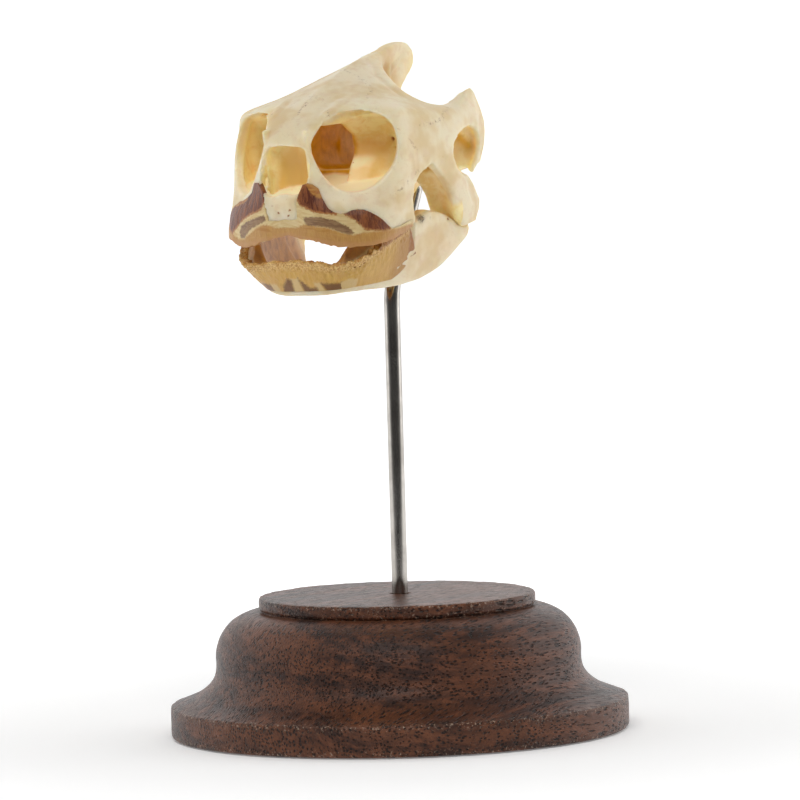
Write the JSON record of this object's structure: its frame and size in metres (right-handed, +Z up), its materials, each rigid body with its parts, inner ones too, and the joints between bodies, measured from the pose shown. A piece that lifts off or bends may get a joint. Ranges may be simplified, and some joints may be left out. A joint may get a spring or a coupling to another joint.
{
  "type": "pond turtle skull on a stand",
  "caption": "Pond turtle skull with horny beak sheaths and a lower jaw, held by a bent steel rod on a round turned hardwood base.",
  "frame": {"origin": "centre of the round base's underside, on the surface it stands on", "axes": "+Z up along the straight part of the rod, -Y the way the snout faces, +X the animal's left"},
  "size_m": [0.0716, 0.0716, 0.1074],
  "materials": {
    "wood": "dark stained, satin waxed",
    "steel": "drawn rod, lengthwise brushing",
    "bone": "dry cleaned bone, satin",
    "horn": "streaked horny keratin, satin"
  },
  "bodies": {
    "root": {"base": "wood", "rod": "steel", "cranium": "bone", "mandible": "bone", "upper_beak_sheath": "horn", "lower_beak_sheath": "horn"}
  },
  "joints": []
}
